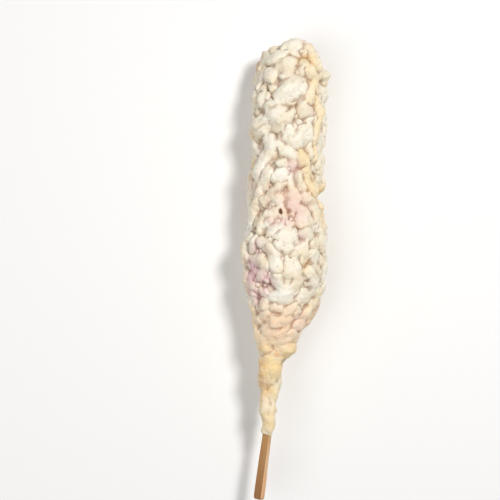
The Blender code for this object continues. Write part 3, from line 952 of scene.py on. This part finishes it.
def model_stick():
    """The stick: a flat section drawn out along the grain, wider at its free end, with sanded corners."""
    deselect_all()
    bpy.ops.mesh.primitive_plane_add(size=1)
    stick = bpy.context.object
    stick.name = "skewer"
    bpy.ops.object.mode_set(mode="EDIT")
    bpy.ops.transform.resize(value=(STICK_SHAFT * STICK_WIDTH, STICK_SHAFT * STICK_THICKNESS, 1))
    bpy.ops.mesh.bevel(offset=STICK_EDGE, segments=STICK_EDGE_STEPS, affect="VERTICES")
    bpy.ops.mesh.select_all(action="DESELECT")
    bpy.ops.object.mode_set(mode="OBJECT")
    for edge in stick.data.edges:
        first, last = (stick.data.vertices[index].co for index in edge.vertices)
        edge.select = (first - last).length > STICK_EDGE
    bpy.ops.object.mode_set(mode="EDIT")
    bpy.ops.mesh.select_mode(type="EDGE")
    bpy.ops.mesh.subdivide(number_cuts=STICK_FIBRES)
    bpy.ops.mesh.select_all(action="SELECT")
    bpy.ops.transform.translate(value=(0, 0, STICK_START - STICK_END))
    bpy.ops.mesh.select_mode(type="FACE")
    shaft = [(STICK_SHOULDER - STICK_START, 1, 1)]
    blade = 1 / STICK_SHAFT
    steps = round((STICK_WIDEST - STICK_SHOULDER) / STICK_STEP)
    for index in range(steps):
        low, high = (1 + (blade - 1) * share / steps for share in (index, index + 1))
        shaft.append(((STICK_WIDEST - STICK_SHOULDER) / steps, high / low, high / low))
    shaft.append((STICK_END - STICK_WIDEST - STICK_CORNER, 1, 1))
    # The corners of the end are a quarter turn of STICK_CORNER, the broad faces end square
    half_width = STICK_WIDTH / 2
    reached, across = 0, half_width
    for index in range(1, STICK_CORNER_STEPS + 1):
        turn = index / STICK_CORNER_STEPS * math.pi / 2
        ahead = STICK_CORNER * math.sin(turn)
        width = half_width - STICK_CORNER * (1 - math.cos(turn))
        thicker = 1 if index < STICK_CORNER_STEPS else STICK_END_SHARE
        shaft.append((ahead - reached, width / across, thicker))
        reached, across = ahead, width
    for ahead, wider, thicker in shaft:
        bpy.ops.mesh.extrude_region_move(TRANSFORM_OT_translate={"value": (0, 0, ahead)})
        bpy.ops.transform.resize(value=(wider, thicker, 1))
    bpy.ops.mesh.select_all(action="DESELECT")
    bpy.ops.mesh.select_mode(type="EDGE")
    bpy.ops.mesh.select_non_manifold()
    bpy.ops.mesh.edge_face_add()
    bpy.ops.mesh.select_all(action="SELECT")
    bpy.ops.mesh.normals_make_consistent(inside=False)
    bpy.ops.object.mode_set(mode="OBJECT")

    # Fibres stand a little proud of the soft wood between them, and run the length of the stick
    points = read_points(stick.data)
    normals = read_points(stick.data, "normal")
    for row, normal in zip(points, normals):
        fibre = noise.noise(Vector((row[0] / FIBRE_WIDTH, row[1] / FIBRE_WIDTH, row[2] / FIBRE_LENGTH)))
        row += FIBRE_DEPTH * (fibre - FIBRE_LEVEL) * np.array((normal[0], normal[1], 0))
    stick.data.vertices.foreach_set("co", points.ravel())
    stick.data.transform(stick_frame())
    stick.data.update()
    bpy.ops.object.shade_smooth_by_angle(angle=STICK_SMOOTH_ANGLE)
    stick.data.materials.append(bamboo_material())
    return stick


def bamboo_material():
    """Split bamboo, sanded and dry: straight fibres, dark pores, and broad sides that are darker, partly
    in their own colour and partly as painted shade, as they face away from the light.
    """
    material = bpy.data.materials.new("bamboo")
    material.use_nodes = True
    tree = material.node_tree
    shader = tree.nodes["Principled BSDF"]
    frame_of_stick = stick_frame()
    place = add_node(tree, "ShaderNodeTexCoord").outputs["Object"]
    own = add_node(
        tree,
        "ShaderNodeMapping",
        {"Vector": place, "Location": frame_of_stick.translation, "Rotation": frame_of_stick.to_euler()},
        vector_type="TEXTURE",
    ).outputs["Vector"]
    patterns = []
    for width, length, detail in BAMBOO_PATTERNS:
        stretched = add_node(
            tree, "ShaderNodeMapping", {"Vector": own, "Scale": (1 / width, 1 / width, 1 / length)}
        ).outputs["Vector"]
        sockets = {"Vector": stretched, "Scale": 1.0, "Detail": detail}
        patterns.append(add_node(tree, "ShaderNodeTexNoise", sockets).outputs["Fac"])
    bands, fibres, pores = patterns

    split = add_node(tree, "ShaderNodeSeparateXYZ", {"Vector": own})
    side = add_node(tree, "ShaderNodeMath", {0: split.outputs["X"]}, operation="ABSOLUTE").outputs[0]
    # Both sides darken towards the free end, the broad ones most. The broad sides are darker than the
    #     narrow ones, partly in their own colour and partly as painted shade, as they face away from the
    #     light
    broad, narrow = (
        layer_colours(tree, srgb(near), ((split.outputs["Z"], -STICK_BARE, 0, 1.0, srgb(far), "MIX"),))
        for near, far in (("#C4925A", "#A06E40"), ("#F6D4AA", "#E8B486"))
    )
    narrow_start, narrow_full = (STICK_WIDTH / 2 - inset for inset in NARROW_SIDE)
    colour = layer_colours(tree, broad, (
        (side, narrow_start, narrow_full, 1.0, narrow, "MIX"),
        (bands, 0.35, 0.65, 0.4, srgb("#D9B98E"), "MULTIPLY"),
        (fibres, 0.5, 0.75, 0.3, srgb("#E6C99B"), "MIX"),
        (pores, 0.6, 0.72, 0.4, srgb("#8A5E38"), "MIX"),
    ))
    tree.links.new(colour, shader.inputs["Base Color"])
    bump = add_node(tree, "ShaderNodeBump", {"Height": fibres, "Distance": 0.08 * MM, "Strength": 0.5})
    tree.links.new(bump.outputs["Normal"], shader.inputs["Normal"])
    limits = {"Value": fibres, "From Min": 0.3, "From Max": 0.7, "To Min": 0.62, "To Max": 0.45}
    roughness = add_node(tree, "ShaderNodeMapRange", limits).outputs["Result"]
    tree.links.new(roughness, shader.inputs["Roughness"])
    return material


def make_studio():
    """A pale floor, soft light from above and a little from the right, and a camera that looks down."""
    deselect_all()
    bpy.ops.mesh.primitive_plane_add(size=FLOOR_SIZE)
    floor = bpy.context.object
    floor.name = "floor"
    material = bpy.data.materials.new("floor")
    material.use_nodes = True
    shader = material.node_tree.nodes["Principled BSDF"]
    shader.inputs["Base Color"].default_value = srgb("#FBFAF8")
    shader.inputs["Roughness"].default_value = 0.9
    floor.data.materials.append(material)

    for name, (place, size, power) in LIGHTS.items():
        place = Vector(place)
        light = bpy.data.lights.new(name, "AREA")
        light.energy = power
        light.size = size
        lamp = bpy.data.objects.new(name, light)
        lamp.location = place
        lamp.rotation_euler = (Vector(LIGHT_TARGET) - place).to_track_quat("-Z", "Y").to_euler()
        bpy.context.scene.collection.objects.link(lamp)
    world = bpy.data.worlds.new("studio")
    world.use_nodes = True
    world.node_tree.nodes["Background"].inputs["Color"].default_value = srgb("#FFFFFF")
    world.node_tree.nodes["Background"].inputs["Strength"].default_value = WORLD_LIGHT
    bpy.context.scene.world = world

    camera = bpy.data.cameras.new("camera")
    camera.sensor_width = SENSOR
    camera.lens = SENSOR * VIEW_DISTANCE / VIEW_WIDTH
    camera.clip_end = VIEW_END
    eye = bpy.data.objects.new("camera", camera)
    eye.location = (VIEW_X, TIP_Y - VIEW_ALONG, VIEW_DISTANCE + AXIS_HEIGHT)
    bpy.context.scene.collection.objects.link(eye)
    bpy.context.scene.camera = eye
    bpy.context.scene.view_settings.view_transform = "Standard"


def main():
    noise.seed_set(CREASE_SEED)
    batter = make_batter()
    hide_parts("crust")
    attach(batter, "root")
    stick = model_stick()
    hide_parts("stick")
    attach(stick, "root")
    make_studio()


main()
